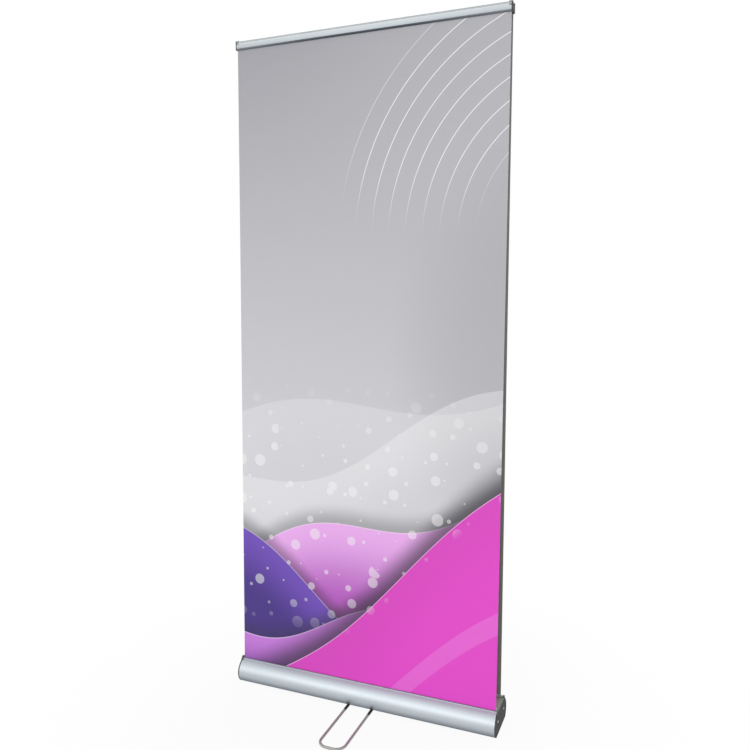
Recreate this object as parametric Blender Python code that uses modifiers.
"""Double-sided banner stand.

Two printed films rise from one floor cassette to two clamping rails, which hang on the head of a
telescopic mast. Metres, +Z up. X runs along the banner, the front film faces -Y, and the origin is
on the floor under the mast.
"""

import math

import bmesh
import bpy
from mathutils import Vector

MM = 0.001
GAP = 0.3 * MM  # air left between two pieces that touch on the real stand

# Films
FILM_WIDTH = 850 * MM
FILM_THICKNESS = 0.4 * MM
FILM_FIX_HEIGHT = 80 * MM  # where each film leaves its slot
FILM_GRIP = 15 * MM  # length of film held inside a rail
FILM_SLOT_AIR = 0.6 * MM  # from the deck's edge to the film
LEADER_BEND = 2 * MM  # below the deck, where the film turns towards its roll

# Base section: a flat floor, a side arc and a dome arc that meet in one tangent
BASE_BEYOND_FILM = 3 * MM  # at each end
BASE_CLEARANCE = 8.6 * MM  # under the base
BASE_WALL = 1.8 * MM
DOME_CENTRE_OUT = 24 * MM
DOME_CENTRE_HEIGHT = 31 * MM
DOME_RADIUS = 50 * MM
SIDE_RADIUS = 39 * MM
DOME_MEETS_SIDE = 35  # degrees above the horizontal
DECK_EDGE = 38.9 * MM  # half width of the deck between the two slots
GUIDE_HEIGHT = 87 * MM  # top of the ridge that guides each film out of its slot
GUIDE_WALL = 1.6 * MM
SLOT_WIDTH = 2.9 * MM
LIP_WIDTH = 2.8 * MM
LIP_HEIGHT = 79.6 * MM
LIP_ROUND = 0.5 * MM

# End caps and the screws that draw them onto the roller spindles
CAP_THICKNESS = 4 * MM
CAP_ROUND = 0.7 * MM
CAP_EAR_FOOT = 54 * MM  # where the ear that closes each slot's end rises from the dome
CAP_EAR_SLOPE = 32  # degrees by which the ear's outer side leans in
CAP_EAR_HEIGHT = 86 * MM
CAP_EAR_ROUND = 1.6 * MM
CAP_BOSS_RADIUS = 8 * MM
CAP_BOSS_DEPTH = 1.2 * MM
SCREW_RADIUS = 2 * MM
SCREW_LENGTH = 14 * MM
SCREW_HEAD_RADIUS = 3.7 * MM
SCREW_HEAD_HEIGHT = 2 * MM
SCREW_HEAD_CURVE = ((0.55, 1), (0.9, 0.7), (1, 0.3))  # shares of the head's radius and height

# Spring rollers
ROLLER_OUT = 38 * MM  # from the centre plane to a roller's axis
ROLLER_HEIGHT = 47 * MM
ROLLER_RADIUS = 16 * MM
ROLLER_WALL = 1.2 * MM
ROLLER_SETBACK = 1.8 * MM  # from the base's end to the roller's end
ROLL_DEPTH = 1.3 * MM  # film still wound on the roller
BUSH_LENGTH = 14 * MM
SPINDLE_RADIUS = 5 * MM
SPINDLE_LENGTH = 166 * MM
IDLER_LENGTH = 24 * MM
SPRING_WIRE = 1.8 * MM
SPRING_MEAN_RADIUS = 6.7 * MM
SPRING_AIR = 3.6 * MM  # left at each end of the spring
SPRING_TURNS = 12
SPRING_STEPS = 8  # in a turn

# Mast socket, and the foot that swivels on its spigot
SOCKET_WALL = 1.7 * MM
SOCKET_FLOOR = 5.3 * MM
SOCKET_FLANGE_RADIUS = 17 * MM
SOCKET_FLANGE_HEIGHT = 2 * MM
SPIGOT_RADIUS = 8 * MM
PIVOT_WASHER_RADIUS = 12 * MM
PIVOT_WASHER_THICKNESS = 1.6 * MM
PIVOT_SCREW_RADIUS = 3 * MM
PIVOT_SCREW_HEAD_RADIUS = 6 * MM
PIVOT_SCREW_HEAD_HEIGHT = 2 * MM
PIVOT_SCREW_LENGTH = 6 * MM
FOOT_WIRE = 6.5 * MM
FOOT_LEG_SPACING = 78.6 * MM
FOOT_REACH = 281.3 * MM  # from the pivot to the tip's outer edge
FOOT_BEND = 30 * MM
FOOT_WIRE_START = 4 * MM
PLATE_THICKNESS = 1.5 * MM
PLATE_DEPTH = 52 * MM
PLATE_SKIRT = 5.2 * MM
PAD_RADIUS = 9 * MM
PAD_CHAMFER = 0.9 * MM
PAD_INSET = 30 * MM  # from the base's end
PAD_OUT = 35 * MM

# Telescopic mast: three tubes, two twist collars with split collets
LOWER_TUBE_RADIUS = 11 * MM
LOWER_TUBE_WALL = 1 * MM
LOWER_TUBE_SHARE = 0.367  # of the stand's height, up to the tube's top
MIDDLE_TUBE_RADIUS = 9 * MM
MIDDLE_TUBE_WALL = 0.8 * MM
MIDDLE_TUBE_SHARE = 0.68
MIDDLE_TUBE_OVERLAP = 135 * MM  # held inside the lower tube
UPPER_TUBE_RADIUS = 7.3 * MM
UPPER_TUBE_WALL = 0.8 * MM
UPPER_TUBE_OVERLAP = 130 * MM
GUIDE_FLANGE = 4 * MM
GUIDE_SPIGOT = 20 * MM
COLLAR_WALL = 1.9 * MM
COLLAR_OVERLAP = 22 * MM
COLLAR_LIP = 2 * MM
COLLAR_FLUTES = 16
COLLAR_FLUTE_DEPTH = 0.5 * MM
COLLAR_FLUTE_CURVE = ((0, 0), (0.4, 0), (0.55, 1), (0.85, 1))  # shares of a flute's step and depth
COLLET_HEIGHT = 12 * MM
COLLET_SLIT = 1.6 * MM

# Mast head and the two clamping rails that hook onto it
STAND_HEIGHT = 2059 * MM
TONGUE_THICKNESS = 6.8 * MM
TONGUE_WIDTH = 40 * MM
HEAD_SHOULDER = 6 * MM
HEAD_SHANK = 30 * MM
HEAD_BELOW_RAILS = 8.5 * MM  # tongue that shows under the rails
RAIL_BEYOND_FILM = 0.5 * MM  # at each end
RAIL_HEIGHT = 25 * MM
RAIL_DEPTH = 11.9 * MM
RAIL_WALL = 1 * MM
RAIL_CAP_THICKNESS = 3 * MM
RAIL_LEDGE = 1.5 * MM  # from the rail's lower edge to the body's ledge
RAIL_PAD_HEIGHT = 5 * MM
FILM_IN_RAIL = 5.4 * MM  # from the rail's back to the film
HOOK_REACH = 3.3 * MM
HOOK_DROP = 5 * MM
HINGE_BEAD = 1.3 * MM
SOCKET_OPENS = -85  # degrees, where the hinge socket's mouth starts and ends
SOCKET_CLOSES = 20
JAW_NECK_ANGLE = -58
JAW_NECK_REACH = 3.5 * MM
JAW_NECK_THICKNESS = 0.8 * MM
JAW_BULGE = 0.5 * MM
JAW_TOE_ROUND = 3 * MM

ALONG_X = (math.pi / 2, 0.0, math.pi / 2)  # a drawn (y, z) section runs along X
ALONG_Y = (math.pi / 2, 0.0, 0.0)  # a drawn (x, z) section runs along Y
UPRIGHT = (0.0, 0.0, 0.0)
TURNED_TO_X = (0.0, math.pi / 2, 0.0)
SIDES = {"front": -1, "rear": 1}
ENDS = {"left": -1, "right": 1}
MERGE = 0.00001
FULL_TURN = 360
TURNED_STEPS = 28  # sides of a turned piece
SMALL_STEPS = 24
TINY_STEPS = 16


# Derived sizes

BASE_FLOOR_TOP = BASE_CLEARANCE + BASE_WALL
BASE_LENGTH = FILM_WIDTH + 2 * BASE_BEYOND_FILM
BASE_END = BASE_LENGTH / 2
DECK_TOP = DOME_CENTRE_HEIGHT + DOME_RADIUS
SIDE_CENTRE_OUT = DOME_CENTRE_OUT + (DOME_RADIUS - SIDE_RADIUS) * math.cos(math.radians(DOME_MEETS_SIDE))
SIDE_CENTRE_HEIGHT = DOME_CENTRE_HEIGHT + (DOME_RADIUS - SIDE_RADIUS) * math.sin(
    math.radians(DOME_MEETS_SIDE)
)
GUIDE_INNER = DECK_EDGE - GUIDE_WALL
LIP_INNER = DECK_EDGE + SLOT_WIDTH
LIP_OUTER = LIP_INNER + LIP_WIDTH
FILM_OUT = DECK_EDGE + FILM_SLOT_AIR + FILM_THICKNESS / 2
SOCKET_BORE = LOWER_TUBE_RADIUS + GAP
SOCKET_RADIUS = SOCKET_BORE + SOCKET_WALL
CELL_HALF = SOCKET_RADIUS + GAP
SPIGOT_HOLE = SPIGOT_RADIUS + GAP
CAP_INNER = BASE_END + GAP
ROLLER_END = BASE_END - ROLLER_SETBACK
ROLLER_BORE = ROLLER_RADIUS - ROLLER_WALL
ROLL_RADIUS = ROLLER_RADIUS + GAP + ROLL_DEPTH
WIRE_RADIUS = FOOT_WIRE / 2
PLATE_UNDER = FOOT_WIRE + GAP
SOCKET_TUBE_SEAT = BASE_FLOOR_TOP + GAP + SOCKET_FLOOR
RAIL_LENGTH = FILM_WIDTH + 2 * RAIL_BEYOND_FILM
RAIL_BACK = TONGUE_THICKNESS / 2 + GAP
RAIL_BOTTOM = STAND_HEIGHT - RAIL_HEIGHT
HEAD_SHOULDER_TOP = RAIL_BOTTOM - HEAD_BELOW_RAILS
LOWER_TUBE_TOP = LOWER_TUBE_SHARE * STAND_HEIGHT
MIDDLE_TUBE_TOP = MIDDLE_TUBE_SHARE * STAND_HEIGHT
MIDDLE_TUBE_BOTTOM = LOWER_TUBE_TOP - MIDDLE_TUBE_OVERLAP
UPPER_TUBE_TOP = HEAD_SHOULDER_TOP - HEAD_SHOULDER - GAP
UPPER_TUBE_BOTTOM = MIDDLE_TUBE_TOP - UPPER_TUBE_OVERLAP
TONGUE_TOP = STAND_HEIGHT - RAIL_WALL - GAP
HINGE_SOCKET_INNER = HINGE_BEAD + GAP
HINGE_SOCKET_OUTER = HINGE_SOCKET_INNER + RAIL_WALL
HINGE_OUT = RAIL_BACK + RAIL_DEPTH - HINGE_SOCKET_OUTER
HINGE_HEIGHT = STAND_HEIGHT - HINGE_SOCKET_OUTER


# Helpers


def clear_scene():
    for obj in list(bpy.data.objects):
        bpy.data.objects.remove(obj, do_unlink=True)


def collection(name):
    made = bpy.data.collections.new(name)
    bpy.context.scene.collection.children.link(made)
    return made


def material(name, colour, roughness, metallic=0.0):
    made = bpy.data.materials.new(name)
    made.use_nodes = True
    shader = made.node_tree.nodes["Principled BSDF"]
    shader.inputs["Base Color"].default_value = (*colour, 1.0)
    shader.inputs["Roughness"].default_value = roughness
    shader.inputs["Metallic"].default_value = metallic
    made.diffuse_color = (*colour, 1.0)
    return made


def polar(centre, radius, degrees):
    angle = math.radians(degrees)
    return centre[0] + radius * math.cos(angle), centre[1] + radius * math.sin(angle)


def arc(centre, radius, start, end, steps):
    """Points along an arc, both ends included; angles in degrees, anticlockwise from the first axis."""
    return [polar(centre, radius, start + (end - start) * i / steps) for i in range(steps + 1)]


def mirrored(points):
    return [(-a, b) for a, b in reversed(points)]


def on_side(points, side):
    """Points drawn as (out from the centre plane, height), moved to the front or the rear."""
    return [(side * out, height) for out, height in points]


def shifted(points, origin):
    return [(a - origin[0], b - origin[1]) for a, b in points]


def stroke(path, thickness):
    """The outline of a wall of one thickness that follows a path, with mitred corners."""
    normals = []
    for a, b in zip(path, path[1:]):
        run = Vector((b[0] - a[0], b[1] - a[1])).normalized()
        normals.append(Vector((-run.y, run.x)))
    left, right = [], []
    for i, point in enumerate(path):
        before, after = normals[max(i - 1, 0)], normals[min(i, len(normals) - 1)]
        mitre = (before + after).normalized()
        mitre *= thickness / 2 / mitre.dot(after)
        left.append((point[0] + mitre.x, point[1] + mitre.y))
        right.append((point[0] - mitre.x, point[1] - mitre.y))
    return left + right[::-1]


def baked(guide, finish):
    """The guide's evaluated shape as a mesh object with welded caps, in its place and under its name."""
    bpy.context.view_layer.update()
    evaluated = guide.evaluated_get(bpy.context.evaluated_depsgraph_get())
    mesh = bpy.data.meshes.new_from_object(evaluated)
    form = bmesh.new()
    form.from_mesh(mesh)
    bmesh.ops.remove_doubles(form, verts=form.verts, dist=MERGE / 10)
    bmesh.ops.recalc_face_normals(form, faces=form.faces)
    form.to_mesh(mesh)
    form.free()
    mesh.shade_smooth()
    mesh.set_sharp_from_angle(angle=math.radians(30))
    mesh.materials.clear()
    mesh.materials.append(finish)
    name, place = guide.name, guide.matrix_world.copy()
    holder = guide.users_collection[0]
    bpy.data.objects.remove(guide, do_unlink=True)
    mesh.name = name
    made = bpy.data.objects.new(name, mesh)
    made.matrix_world = place
    holder.objects.link(made)
    return made


def placed(name, data, location, rotation):
    obj = bpy.data.objects.new(name, data)
    obj.location = location
    obj.rotation_euler = rotation
    PARTS.objects.link(obj)
    return obj


def extruded(name, loops, length, finish, location=(0, 0, 0), rotation=ALONG_X, rounding=0.0):
    """A flat outline, its further loops being holes, drawn out by half its length to each side."""
    curve = bpy.data.curves.new(name, "CURVE")
    curve.dimensions = "2D"
    curve.fill_mode = "BOTH"
    curve.extrude = length / 2 - rounding
    curve.bevel_depth = rounding
    curve.bevel_resolution = 0
    curve.offset = -rounding
    for loop in loops:
        spline = curve.splines.new("POLY")
        spline.points.add(len(loop) - 1)
        for point, (a, b) in zip(spline.points, loop):
            point.co = (a, b, 0.0, 1.0)
        spline.use_cyclic_u = True
    return baked(placed(name, curve, location, rotation), finish)


def turned(name, profile, finish, location, rotation=UPRIGHT, steps=TURNED_STEPS):
    """A (radius, height) profile turned about Z; it runs down the outer side of the piece."""
    ring = all(radius > 0 for radius, _ in profile)
    edges = [(i, i + 1) for i in range(len(profile) - 1)]
    if ring:
        edges.append((len(profile) - 1, 0))
    mesh = bpy.data.meshes.new(name)
    mesh.from_pydata([(radius, 0.0, height) for radius, height in profile], edges, [])
    obj = placed(name, mesh, location, rotation)
    screw = obj.modifiers.new("Turn", "SCREW")
    screw.axis = "Z"
    screw.steps = steps
    screw.render_steps = steps
    screw.use_merge_vertices = True
    screw.merge_threshold = MERGE
    return baked(obj, finish)


def sleeve(name, inner, outer, low, high, finish, location, rotation=UPRIGHT, steps=TURNED_STEPS):
    return turned(
        name,
        [(outer, high), (outer, low), (inner, low), (inner, high)],
        finish,
        location,
        rotation,
        steps,
    )


def wire(name, points, radius, finish, location=(0, 0, 0), resolution=4):
    curve = bpy.data.curves.new(name, "CURVE")
    curve.dimensions = "3D"
    curve.bevel_depth = radius
    curve.bevel_resolution = resolution
    curve.use_fill_caps = True
    spline = curve.splines.new("POLY")
    spline.points.add(len(points) - 1)
    for point, place in zip(spline.points, points):
        point.co = (*place, 1.0)
    return baked(placed(name, curve, location, UPRIGHT), finish)


def helper(obj):
    """Takes an object out of the parts: it only shapes another one."""
    PARTS.objects.unlink(obj)
    CUTTERS.objects.link(obj)
    obj.hide_render = True
    obj.display_type = "WIRE"
    return obj


def shape_with(obj, tool, operation):
    boolean = obj.modifiers.new(operation.title(), "BOOLEAN")
    boolean.operation = operation
    boolean.solver = "EXACT"
    boolean.object = helper(tool)


def rod(name, radius, low, high, location, rotation=UPRIGHT, steps=TURNED_STEPS):
    """A plain solid bar for cutting and joining."""
    profile = [(0, high), (radius, high), (radius, low), (0, low)]
    return turned(name, profile, METAL, location, rotation, steps)


def bar_along_x(name, radius, start, end, centre, steps=SMALL_STEPS):
    """A solid bar about a (y, z) centre, from one x to the other."""
    return rod(name, radius, min(start, end), max(start, end), (0, *centre), TURNED_TO_X, steps)


def axis(name, location):
    """An empty on a joint's axis, which carries the pieces that move about it."""
    empty = bpy.data.objects.new(name, None)
    empty.location = location
    PARTS.objects.link(empty)
    bpy.context.view_layer.update()
    return empty


def carry(empty, *pieces):
    for piece in pieces:
        piece.parent = empty
        piece.matrix_parent_inverse = empty.matrix_world.inverted()


# Base


def chamber_wall(inset, reach):
    """The shell's side, inset from the outer face, from the floor up and over as far in as the reach."""
    side_centre = (SIDE_CENTRE_OUT, SIDE_CENTRE_HEIGHT)
    dome_centre = (DOME_CENTRE_OUT, DOME_CENTRE_HEIGHT)
    foot = BASE_CLEARANCE + inset
    start = math.degrees(math.asin((foot - SIDE_CENTRE_HEIGHT) / (SIDE_RADIUS - inset)))
    end = math.degrees(math.acos((reach - DOME_CENTRE_OUT) / (DOME_RADIUS - inset)))
    lower = arc(side_centre, SIDE_RADIUS - inset, start, DOME_MEETS_SIDE, 13)
    upper = arc(dome_centre, DOME_RADIUS - inset, DOME_MEETS_SIDE, end, 8)
    return lower + upper[1:]


def deck_edge(inset, reach, steps=3):
    """The deck's curved edge, from the reach back to where the deck is flat."""
    centre = (DOME_CENTRE_OUT, DOME_CENTRE_HEIGHT)
    start = math.degrees(math.acos((reach - DOME_CENTRE_OUT) / (DOME_RADIUS - inset)))
    return arc(centre, DOME_RADIUS - inset, start, 90, steps)


def lip():
    """The raised bead beside the slot, from the dome up and over to the slot."""
    outer = arc((LIP_OUTER - LIP_ROUND, LIP_HEIGHT - LIP_ROUND), LIP_ROUND, 0, 90, 2)
    inner = arc((LIP_INNER + LIP_ROUND, LIP_HEIGHT - LIP_ROUND), LIP_ROUND, 90, 180, 2)
    return outer + inner


def guide_ridge():
    """The ridge's round top, from the slot side over to the deck side."""
    half = GUIDE_WALL / 2
    return arc((DECK_EDGE - half, GUIDE_HEIGHT - half), half, 0, 180, 3)


def base_half():
    """Half of the extrusion's outline, from the floor's underside to the top of the deck."""
    web = CELL_HALF + BASE_WALL
    outer = chamber_wall(0, LIP_OUTER)
    inner = chamber_wall(BASE_WALL, LIP_INNER + BASE_WALL / 2)
    slot_bottom = [(LIP_INNER, inner[-1][1])]
    ceiling = deck_edge(BASE_WALL, DECK_EDGE)
    corner = [(web, DECK_TOP - BASE_WALL), (web, BASE_FLOOR_TOP)]
    chamber = outer + lip() + slot_bottom + inner[::-1] + corner[::-1] + ceiling[::-1]
    return chamber + guide_ridge() + deck_edge(0, GUIDE_INNER)


def make_base():
    half = base_half()
    cell_top = DECK_TOP - BASE_WALL
    cell = [
        (-CELL_HALF, BASE_FLOOR_TOP),
        (CELL_HALF, BASE_FLOOR_TOP),
        (CELL_HALF, cell_top),
        (-CELL_HALF, cell_top),
    ]
    base = extruded("base_extrusion", [half + mirrored(half), cell], BASE_LENGTH, METAL)
    deck_hole = rod("deck_hole", SOCKET_RADIUS + GAP, cell_top - BASE_WALL, DECK_TOP + BASE_WALL, (0, 0, 0))
    floor_hole = rod("floor_hole", SPIGOT_HOLE, 0, BASE_FLOOR_TOP + BASE_WALL, (0, 0, 0))
    shape_with(base, deck_hole, "DIFFERENCE")
    shape_with(base, floor_hole, "DIFFERENCE")
    return base


def cap_outline():
    """The base's outline with an ear over each slot, whose outer side touches its round top."""
    flank = chamber_wall(0, CAP_EAR_FOOT)
    ear_low = CAP_EAR_HEIGHT - CAP_EAR_ROUND
    slope = math.radians(CAP_EAR_SLOPE)
    drawn_in = (ear_low - flank[-1][1]) * math.tan(slope) + CAP_EAR_ROUND / math.cos(slope)
    outer = arc((CAP_EAR_FOOT - drawn_in, ear_low), CAP_EAR_ROUND, CAP_EAR_SLOPE, 90, 2)
    inner = arc((GUIDE_INNER + CAP_EAR_ROUND, ear_low), CAP_EAR_ROUND, 90, 180, 2)
    half = flank + outer + inner + deck_edge(0, GUIDE_INNER, 1)
    return half + mirrored(half)


def make_end_cap(end):
    """A moulded cap with a boss round each spindle and a counterbored hole for its screw."""
    sign = ENDS[end]
    centre = sign * (CAP_INNER + CAP_THICKNESS / 2)
    name = f"end_cap_{end}"
    cap = extruded(name, [cap_outline()], CAP_THICKNESS, CHARCOAL, (centre, 0, 0), rounding=CAP_ROUND)
    inner_face, outer_face = sign * CAP_INNER, sign * (CAP_INNER + CAP_THICKNESS)
    boss_face = inner_face - sign * CAP_BOSS_DEPTH
    head_seat = outer_face - sign * (SCREW_HEAD_HEIGHT + GAP)
    beyond = sign * CAP_THICKNESS
    for side, y_sign in SIDES.items():
        centre = (y_sign * ROLLER_OUT, ROLLER_HEIGHT)
        label = f"{name}_{side}"
        middle = (inner_face + outer_face) / 2
        boss = bar_along_x(f"{label}_boss", CAP_BOSS_RADIUS, boss_face, middle, centre)
        shape_with(cap, boss, "UNION")
        bores = [
            (SPINDLE_RADIUS + GAP, boss_face - beyond, inner_face),
            (SCREW_RADIUS + GAP, boss_face, outer_face + beyond),
            (SCREW_HEAD_RADIUS + GAP, head_seat, outer_face + beyond),
        ]
        for number, (radius, start, end_x) in enumerate(bores):
            bore = bar_along_x(f"{label}_bore_{number}", radius, start, end_x, centre)
            shape_with(cap, bore, "DIFFERENCE")
    return cap


def make_cap_screw(end, side):
    """A pan-head screw along X, its head on the outer side."""
    sign, y_sign = ENDS[end], SIDES[side]
    seat = CAP_INNER + CAP_THICKNESS - SCREW_HEAD_HEIGHT
    profile = [
        (0, SCREW_HEAD_HEIGHT),
        *[(SCREW_HEAD_RADIUS * wide, SCREW_HEAD_HEIGHT * high) for wide, high in SCREW_HEAD_CURVE],
        (SCREW_HEAD_RADIUS, 0),
        (SCREW_RADIUS, 0),
        (SCREW_RADIUS, -SCREW_LENGTH),
        (0, -SCREW_LENGTH),
    ]
    place = (sign * seat, y_sign * ROLLER_OUT, ROLLER_HEIGHT)
    turn = (0, sign * math.pi / 2, 0)
    return turned(f"cap_screw_{end}_{side}", profile, BRIGHT_METAL, place, turn, TINY_STEPS)


def make_pad(end, side):
    place = (ENDS[end] * (BASE_END - PAD_INSET), SIDES[side] * PAD_OUT, 0)
    top = BASE_CLEARANCE - GAP
    profile = [
        (0, top),
        (PAD_RADIUS, top),
        (PAD_RADIUS, PAD_CHAMFER),
        (PAD_RADIUS - PAD_CHAMFER, 0),
        (0, 0),
    ]
    return turned(f"pad_{end}_{side}", profile, RUBBER, place, steps=SMALL_STEPS)


# Spring rollers


def roller_sleeve(name, inner, outer, low, high, finish, side, steps=SMALL_STEPS):
    place = (0, SIDES[side] * ROLLER_OUT, ROLLER_HEIGHT)
    return sleeve(name, inner, outer, low, high, finish, place, TURNED_TO_X, steps)


def tapped_bar(name, end, length, side):
    """A bar from the base's end inwards, its outer end bored for the cap screw."""
    sign = ENDS[end]
    hole = SCREW_RADIUS + GAP
    depth = SCREW_LENGTH
    profile = [
        (0, -depth),
        (hole, -depth),
        (hole, 0),
        (SPINDLE_RADIUS, 0),
        (SPINDLE_RADIUS, -length),
        (0, -length),
    ]
    place = (sign * BASE_END, SIDES[side] * ROLLER_OUT, ROLLER_HEIGHT)
    return turned(name, profile, BRIGHT_METAL, place, (0, sign * math.pi / 2, 0), TINY_STEPS)


def spring_points(length):
    """A coil about X that winds on towards the middle of the stand."""
    count = SPRING_TURNS * SPRING_STEPS
    return [
        (length * i / count, *polar((0, 0), SPRING_MEAN_RADIUS, FULL_TURN * i / SPRING_STEPS))
        for i in range(count + 1)
    ]


def make_roller(side):
    centre = (0, SIDES[side] * ROLLER_OUT, ROLLER_HEIGHT)
    plug_radius = ROLLER_BORE - GAP
    running_bore = SPINDLE_RADIUS + GAP
    spindle_tip = SPINDLE_LENGTH - BASE_END
    plug_low = spindle_tip - BUSH_LENGTH / 2
    tube = roller_sleeve(
        f"{side}_roller_tube", ROLLER_BORE, ROLLER_RADIUS, -ROLLER_END, ROLLER_END, METAL, side, TURNED_STEPS
    )
    roll = roller_sleeve(
        f"{side}_film_roll",
        ROLLER_RADIUS + GAP,
        ROLL_RADIUS,
        -FILM_WIDTH / 2,
        FILM_WIDTH / 2,
        FILM_BACK,
        side,
        TURNED_STEPS,
    )
    left = roller_sleeve(
        f"{side}_left_bush", running_bore, plug_radius, -ROLLER_END, BUSH_LENGTH - ROLLER_END, NYLON, side
    )
    right = roller_sleeve(
        f"{side}_right_bush", running_bore, plug_radius, ROLLER_END - BUSH_LENGTH, ROLLER_END, NYLON, side
    )
    plug = roller_sleeve(
        f"{side}_spring_plug", running_bore, plug_radius, plug_low, plug_low + BUSH_LENGTH, NYLON, side
    )
    carry(axis(f"{side}_roller_axis", centre), tube, roll, left, right, plug)
    tapped_bar(f"{side}_spindle", "left", SPINDLE_LENGTH, side)
    tapped_bar(f"{side}_idler_pin", "right", IDLER_LENGTH, side)
    spring_start = BUSH_LENGTH - ROLLER_END + SPRING_AIR
    wire(
        f"{side}_spring",
        spring_points(plug_low - SPRING_AIR - spring_start),
        SPRING_WIRE / 2,
        SPRING_STEEL,
        (spring_start, centre[1], centre[2]),
        resolution=1,
    )


def leader_path():
    """The film's way from the slot down to the outer side of its roll, as (out, height)."""
    top = (FILM_OUT, FILM_FIX_HEIGHT - GAP)
    bend = (FILM_OUT, DECK_TOP - BASE_WALL - LEADER_BEND)
    axis_point = Vector((ROLLER_OUT, ROLLER_HEIGHT))
    reach = ROLL_RADIUS + GAP + FILM_THICKNESS / 2
    to_bend = Vector(bend) - axis_point
    turn = math.acos(reach / to_bend.length)
    angle = math.atan2(to_bend.y, to_bend.x) - turn
    touch = axis_point + Vector((reach * math.cos(angle), reach * math.sin(angle)))
    return [top, bend, (touch.x, touch.y)]


def make_leader(side):
    outline = on_side(stroke(leader_path(), FILM_THICKNESS), SIDES[side])
    return extruded(f"{side}_leader", [outline], FILM_WIDTH, FILM_BACK)


# Socket and swivelling foot


def make_socket():
    """A turned cup from the floor to its flange on the deck, with the foot's spigot under the floor."""
    flange_low = DECK_TOP + GAP
    flange_top = flange_low + SOCKET_FLANGE_HEIGHT
    low = BASE_FLOOR_TOP + GAP
    spigot_end = PLATE_UNDER
    thread_top = spigot_end + PIVOT_SCREW_LENGTH + GAP
    thread = PIVOT_SCREW_RADIUS + GAP
    profile = [
        (0, SOCKET_TUBE_SEAT - GAP),
        (SOCKET_BORE, SOCKET_TUBE_SEAT - GAP),
        (SOCKET_BORE, flange_top),
        (SOCKET_FLANGE_RADIUS, flange_top),
        (SOCKET_FLANGE_RADIUS, flange_low),
        (SOCKET_RADIUS, flange_low),
        (SOCKET_RADIUS, low),
        (SPIGOT_RADIUS, low),
        (SPIGOT_RADIUS, spigot_end),
        (thread, spigot_end),
        (thread, thread_top),
        (0, thread_top),
    ]
    return turned("mast_socket", profile, CHARCOAL, (0, 0, 0))


def make_pivot_screw():
    """The screw and its captive washer that keep the swivel plate up on the spigot."""
    washer_top = PLATE_UNDER - GAP
    washer_low = washer_top - PIVOT_WASHER_THICKNESS
    head_low = washer_low - PIVOT_SCREW_HEAD_HEIGHT
    profile = [
        (0, PLATE_UNDER + PIVOT_SCREW_LENGTH - GAP),
        (PIVOT_SCREW_RADIUS, PLATE_UNDER + PIVOT_SCREW_LENGTH - GAP),
        (PIVOT_SCREW_RADIUS, washer_top),
        (PIVOT_WASHER_RADIUS, washer_top),
        (PIVOT_WASHER_RADIUS, washer_low),
        (PIVOT_SCREW_HEAD_RADIUS, washer_low),
        (PIVOT_SCREW_HEAD_RADIUS, head_low),
        (0, head_low),
    ]
    return turned("foot_pivot_screw", profile, BRIGHT_METAL, (0, 0, 0), steps=SMALL_STEPS)


def make_swivel_plate():
    """A folded plate whose skirts hold the wires' legs, turning on the socket's spigot."""
    middle = PLATE_UNDER + PLATE_THICKNESS / 2
    edge = FOOT_LEG_SPACING / 2 + WIRE_RADIUS + GAP + PLATE_THICKNESS / 2
    path = [(-edge, middle - PLATE_SKIRT), (-edge, middle), (edge, middle), (edge, middle - PLATE_SKIRT)]
    plate = extruded(
        "swivel_plate", [stroke(path, PLATE_THICKNESS)], PLATE_DEPTH, BRIGHT_METAL, rotation=ALONG_Y
    )
    hole = rod("plate_hole", SPIGOT_HOLE, 0, 2 * PLATE_UNDER, (0, 0, 0))
    shape_with(plate, hole, "DIFFERENCE")
    return plate


def make_foot_wire(side):
    """A U of round wire that lies on the floor, its two legs under the swivel plate."""
    sign = SIDES[side]
    half = FOOT_LEG_SPACING / 2
    corner = FOOT_REACH - WIRE_RADIUS - FOOT_BEND
    inner = half - FOOT_BEND
    first = arc((-inner, -corner), FOOT_BEND, 180, 270, 8)
    second = arc((inner, -corner), FOOT_BEND, 270, 360, 8)
    flat = [(-half, -FOOT_WIRE_START), *first, *second, (half, -FOOT_WIRE_START)]
    points = [(x, -sign * y, 0.0) for x, y in flat]
    return wire(f"{side}_foot_wire", points, WIRE_RADIUS, CHROME, (0, 0, WIRE_RADIUS))


def make_foot():
    pivot = axis("foot_pivot", (0, 0, 0))
    carry(pivot, make_swivel_plate(), make_foot_wire("front"), make_foot_wire("rear"))


# Mast


def make_guide(name, tube_radius, tube_wall, outer_wall_inside, tube_bottom):
    """A turned bush plugged into a tube's lower end, running in the tube outside it."""
    spigot = tube_radius - tube_wall - GAP
    flange = outer_wall_inside - GAP
    profile = [
        (0, GUIDE_SPIGOT),
        (spigot, GUIDE_SPIGOT),
        (spigot, -GAP),
        (flange, -GAP),
        (flange, -GUIDE_FLANGE),
        (0, -GUIDE_FLANGE),
    ]
    return turned(name, profile, NYLON, (0, 0, tube_bottom), steps=SMALL_STEPS)


def make_collet(name, inner_tube, outer_tube, low):
    """A split ring round the inner tube, which the twist collar closes."""
    inner, outer = inner_tube + GAP, outer_tube
    half_slit = COLLET_SLIT / 2
    inner_start = math.degrees(math.asin(half_slit / inner))
    outer_start = math.degrees(math.asin(half_slit / outer))
    loop = arc((0, 0), outer, outer_start, FULL_TURN - outer_start, SMALL_STEPS)
    loop += arc((0, 0), inner, FULL_TURN - inner_start, inner_start, SMALL_STEPS)
    place = (0, 0, low + COLLET_HEIGHT / 2)
    return extruded(name, [loop], COLLET_HEIGHT, NYLON, place, UPRIGHT)


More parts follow.
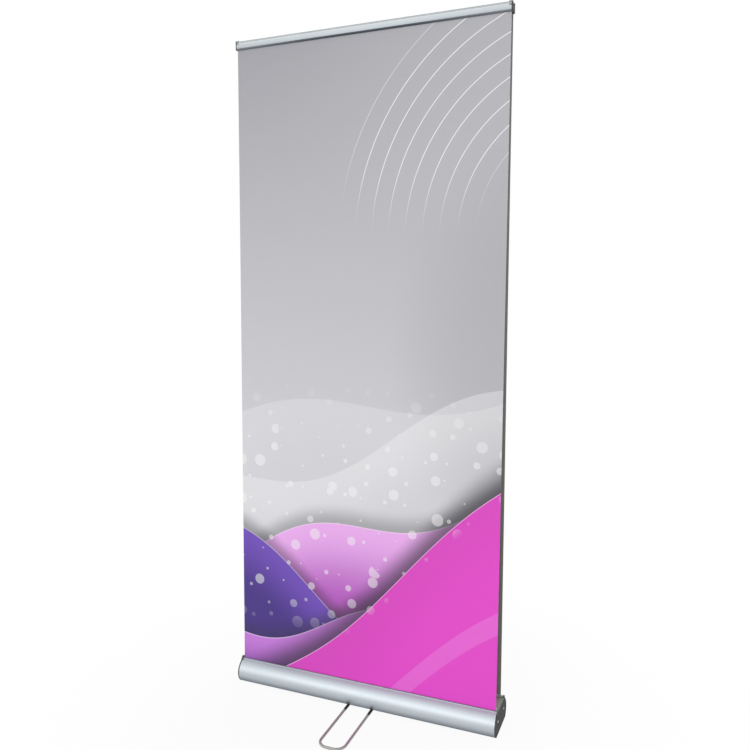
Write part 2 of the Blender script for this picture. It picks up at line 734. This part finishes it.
def make_collar(name, inner_tube, outer_tube, tube_top):
    """A fluted twist collar over the end of the outer tube, its lip closing over the collet."""
    low = tube_top - COLLAR_OVERLAP
    lip_low = tube_top + GAP + COLLET_HEIGHT + GAP
    high = lip_low + COLLAR_LIP
    bore = outer_tube + GAP
    outer = bore + COLLAR_WALL
    outline = [
        polar((0, 0), outer - COLLAR_FLUTE_DEPTH * depth, FULL_TURN * (flute + along) / COLLAR_FLUTES)
        for flute in range(COLLAR_FLUTES)
        for along, depth in COLLAR_FLUTE_CURVE
    ]
    place = (0, 0, (low + high) / 2)
    collar = extruded(name, [outline], high - low, CHARCOAL, place, UPRIGHT)
    cutter = turned(
        f"{name}_bore",
        [
            (0, high + MM),
            (inner_tube + GAP, high + MM),
            (inner_tube + GAP, lip_low),
            (bore, lip_low),
            (bore, low - MM),
            (0, low - MM),
        ],
        CHARCOAL,
        (0, 0, 0),
        steps=SMALL_STEPS,
    )
    shape_with(collar, cutter, "DIFFERENCE")
    carry(axis(f"{name}_axis", place), collar)
    return collar


def make_mast():
    lower_inside = LOWER_TUBE_RADIUS - LOWER_TUBE_WALL
    middle_inside = MIDDLE_TUBE_RADIUS - MIDDLE_TUBE_WALL
    upper_inside = UPPER_TUBE_RADIUS - UPPER_TUBE_WALL
    foot = (0, 0, 0)
    sleeve("mast_lower_tube", lower_inside, LOWER_TUBE_RADIUS, SOCKET_TUBE_SEAT, LOWER_TUBE_TOP, METAL, foot)
    name = "mast_middle_tube"
    middle = sleeve(
        name, middle_inside, MIDDLE_TUBE_RADIUS, MIDDLE_TUBE_BOTTOM, MIDDLE_TUBE_TOP, METAL, foot
    )
    upper = sleeve(
        "mast_upper_tube", upper_inside, UPPER_TUBE_RADIUS, UPPER_TUBE_BOTTOM, UPPER_TUBE_TOP, METAL, foot
    )
    middle_guide = make_guide(
        "middle_guide_bush", MIDDLE_TUBE_RADIUS, MIDDLE_TUBE_WALL, lower_inside, MIDDLE_TUBE_BOTTOM
    )
    upper_guide = make_guide(
        "upper_guide_bush", UPPER_TUBE_RADIUS, UPPER_TUBE_WALL, middle_inside, UPPER_TUBE_BOTTOM
    )
    make_collet("lower_collet", MIDDLE_TUBE_RADIUS, LOWER_TUBE_RADIUS, LOWER_TUBE_TOP + GAP)
    upper_collet = make_collet("upper_collet", UPPER_TUBE_RADIUS, MIDDLE_TUBE_RADIUS, MIDDLE_TUBE_TOP + GAP)
    make_collar("lower_collar", MIDDLE_TUBE_RADIUS, LOWER_TUBE_RADIUS, LOWER_TUBE_TOP)
    make_collar("upper_collar", UPPER_TUBE_RADIUS, MIDDLE_TUBE_RADIUS, MIDDLE_TUBE_TOP)
    carry(axis("mast_middle_slide", (0, 0, MIDDLE_TUBE_BOTTOM)), middle, middle_guide, upper_collet)
    carry(axis("mast_upper_slide", (0, 0, UPPER_TUBE_BOTTOM)), upper, upper_guide, make_head())


def make_head():
    """A shank in the upper tube, a shoulder on its rim, and a flat tongue with a trough for both hooks."""
    shoulder_low = UPPER_TUBE_TOP + GAP
    shank = UPPER_TUBE_RADIUS - UPPER_TUBE_WALL - GAP
    stem = turned(
        "head_stem",
        [
            (0, HEAD_SHOULDER_TOP),
            (UPPER_TUBE_RADIUS, HEAD_SHOULDER_TOP),
            (UPPER_TUBE_RADIUS, shoulder_low),
            (shank, shoulder_low),
            (shank, shoulder_low - HEAD_SHANK),
            (0, shoulder_low - HEAD_SHANK),
        ],
        CHARCOAL,
        (0, 0, 0),
    )
    half = TONGUE_THICKNESS / 2
    hook_back = RAIL_BACK - HOOK_REACH + RAIL_WALL + GAP
    trough_floor = STAND_HEIGHT - HOOK_DROP - GAP
    low = HEAD_SHOULDER_TOP - HEAD_SHOULDER / 2
    outline = [
        (-half, low),
        (half, low),
        (half, TONGUE_TOP),
        (hook_back, TONGUE_TOP),
        (hook_back, trough_floor),
        (-hook_back, trough_floor),
        (-hook_back, TONGUE_TOP),
        (-half, TONGUE_TOP),
    ]
    head = extruded("mast_head", [outline], TONGUE_WIDTH, CHARCOAL)
    shape_with(head, stem, "UNION")
    return head


# Clamping rails


def rail_body_outline():
    """Back wall, top wall with the hook and the hinge socket, and the ledge that the jaw presses against."""
    hinge = (HINGE_OUT, HINGE_HEIGHT)
    top_inside = STAND_HEIGHT - RAIL_WALL
    ledge_low = RAIL_BOTTOM + RAIL_LEDGE
    pad_face = RAIL_BACK + FILM_IN_RAIL - FILM_THICKNESS / 2 - GAP
    pad_top = ledge_low + RAIL_PAD_HEIGHT
    hook_tip = RAIL_BACK - HOOK_REACH
    hook_low = STAND_HEIGHT - HOOK_DROP
    rise = (top_inside - HINGE_HEIGHT) / HINGE_SOCKET_OUTER
    meets_top = 180 - math.degrees(math.asin(rise))
    mouth = FULL_TURN + SOCKET_OPENS
    return [
        (RAIL_BACK, ledge_low),
        (RAIL_BACK, top_inside),
        (hook_tip + RAIL_WALL, top_inside),
        (hook_tip + RAIL_WALL, hook_low),
        (hook_tip, hook_low),
        (hook_tip, STAND_HEIGHT),
        *arc(hinge, HINGE_SOCKET_OUTER, 90, SOCKET_CLOSES, 5),
        *arc(hinge, HINGE_SOCKET_INNER, SOCKET_CLOSES, mouth, 14),
        *arc(hinge, HINGE_SOCKET_OUTER, mouth, meets_top, 8),
        (RAIL_BACK + RAIL_WALL, top_inside),
        (RAIL_BACK + RAIL_WALL, ledge_low + RAIL_WALL),
        (pad_face - RAIL_WALL, ledge_low + RAIL_WALL),
        (pad_face - RAIL_WALL, pad_top),
        (pad_face, pad_top),
        (pad_face, ledge_low),
    ]


def jaw_face():
    """The middle of the jaw's wall: the hinge neck, the bowed face, the toe and the lip."""
    half = RAIL_WALL / 2
    face = RAIL_BACK + RAIL_DEPTH - half
    lip_out = RAIL_BACK + FILM_IN_RAIL + FILM_THICKNESS / 2 + GAP + half
    neck = polar((HINGE_OUT, HINGE_HEIGHT), JAW_NECK_REACH, JAW_NECK_ANGLE)
    toe_height = RAIL_BOTTOM + half
    toe_centre = (face - JAW_BULGE - JAW_TOE_ROUND, toe_height + JAW_TOE_ROUND)
    top, bottom = neck[1], toe_centre[1]
    bow = []
    steps = 6
    for i in range(steps + 1):
        share = i / steps
        height = top + (bottom - top) * share
        # The neck's end and the toe are drawn back, and the middle stands full out.
        back = JAW_BULGE * (2 * share - 1) ** 2 if share > 0.5 else (face - neck[0]) * (1 - 2 * share) ** 2
        bow.append((face - back, height))
    toe = arc(toe_centre, JAW_TOE_ROUND, 0, -90, 5)
    lip = [(lip_out, toe_height), (lip_out, RAIL_BOTTOM + RAIL_LEDGE + RAIL_PAD_HEIGHT)]
    return bow + toe[1:] + lip


def jaw_outline():
    """The jaw's wall with a round bead at the end of its neck."""
    hinge = (HINGE_OUT, HINGE_HEIGHT)
    spread = math.degrees(math.asin(JAW_NECK_THICKNESS / 2 / HINGE_BEAD))
    bead = arc(hinge, HINGE_BEAD, JAW_NECK_ANGLE + spread, JAW_NECK_ANGLE + FULL_TURN - spread, 14)
    return stroke(jaw_face(), RAIL_WALL) + bead[::-1]


def make_rail(side):
    sign = SIDES[side]
    hinge = (sign * HINGE_OUT, HINGE_HEIGHT)
    hook = (0, sign * RAIL_BACK, STAND_HEIGHT)
    body_outline = shifted(on_side(rail_body_outline(), sign), hook[1:])
    body = extruded(f"{side}_rail_body", [body_outline], RAIL_LENGTH, METAL, hook)
    jaw_loop = shifted(on_side(jaw_outline(), sign), hinge)
    jaw = extruded(f"{side}_rail_jaw", [jaw_loop], RAIL_LENGTH, METAL, (0, *hinge))
    caps = [make_rail_cap(side, end) for end in ENDS]
    carry(axis(f"{side}_rail_lift", hook), body, *caps)
    carry(axis(f"{side}_jaw_hinge", (0, *hinge)), jaw)


def make_rail_cap(side, end):
    """A flat cap over the end of a rail, with rounded corners."""
    corner = HINGE_SOCKET_OUTER
    out, high = RAIL_BACK + RAIL_DEPTH, STAND_HEIGHT
    small = RAIL_WALL
    outline = [
        *arc((RAIL_BACK + small, RAIL_BOTTOM + small), small, 270, 180, 2),
        *arc((RAIL_BACK + small, high - small), small, 180, 90, 2),
        *arc((out - corner, high - corner), corner, 90, 0, 4),
        *arc((out - JAW_TOE_ROUND, RAIL_BOTTOM + JAW_TOE_ROUND), JAW_TOE_ROUND, 0, -90, 4),
    ]
    centre = ENDS[end] * (RAIL_LENGTH / 2 + GAP + RAIL_CAP_THICKNESS / 2)
    loop = on_side(outline, SIDES[side])
    return extruded(f"{side}_rail_cap_{end}", [loop], RAIL_CAP_THICKNESS, CHARCOAL, (centre, 0, 0))


# Films


def make_graphic(side):
    """A flat film, taut from its slot to inside its rail."""
    rail_film = RAIL_BACK + FILM_IN_RAIL
    lean = (rail_film - FILM_OUT) / (RAIL_BOTTOM - FILM_FIX_HEIGHT)
    top = RAIL_BOTTOM + FILM_GRIP
    top_out = rail_film + lean * FILM_GRIP
    half = FILM_THICKNESS / 2
    outline = [
        (FILM_OUT - half, FILM_FIX_HEIGHT),
        (FILM_OUT + half, FILM_FIX_HEIGHT),
        (top_out + half, top),
        (top_out - half, top),
    ]
    loop = on_side(outline, SIDES[side])
    return extruded(f"{side}_graphic", [loop], FILM_WIDTH, FILM_PRINT)


def build():
    make_base()
    for end in ENDS:
        make_end_cap(end)
        for side in SIDES:
            make_cap_screw(end, side)
            make_pad(end, side)
    make_socket()
    make_pivot_screw()
    make_foot()
    make_mast()
    for side in SIDES:
        make_roller(side)
        make_leader(side)
        make_rail(side)
        make_graphic(side)


clear_scene()
PARTS = collection("Banner stand")
CUTTERS = collection("Cutters")
METAL = material("satin_aluminium", (0.62, 0.64, 0.66), 0.35, 1.0)
BRIGHT_METAL = material("plated_steel", (0.6, 0.6, 0.6), 0.3, 1.0)
CHROME = material("chrome", (0.8, 0.8, 0.8), 0.08, 1.0)
SPRING_STEEL = material("spring_steel", (0.25, 0.25, 0.27), 0.4, 1.0)
CHARCOAL = material("charcoal_plastic", (0.06, 0.06, 0.065), 0.5)
NYLON = material("white_nylon", (0.75, 0.74, 0.7), 0.45)
RUBBER = material("rubber", (0.02, 0.02, 0.02), 0.8)
FILM_BACK = material("film_back", (0.1, 0.1, 0.1), 0.6)
FILM_PRINT = material("film_print", (0.45, 0.45, 0.47), 0.4)
build()
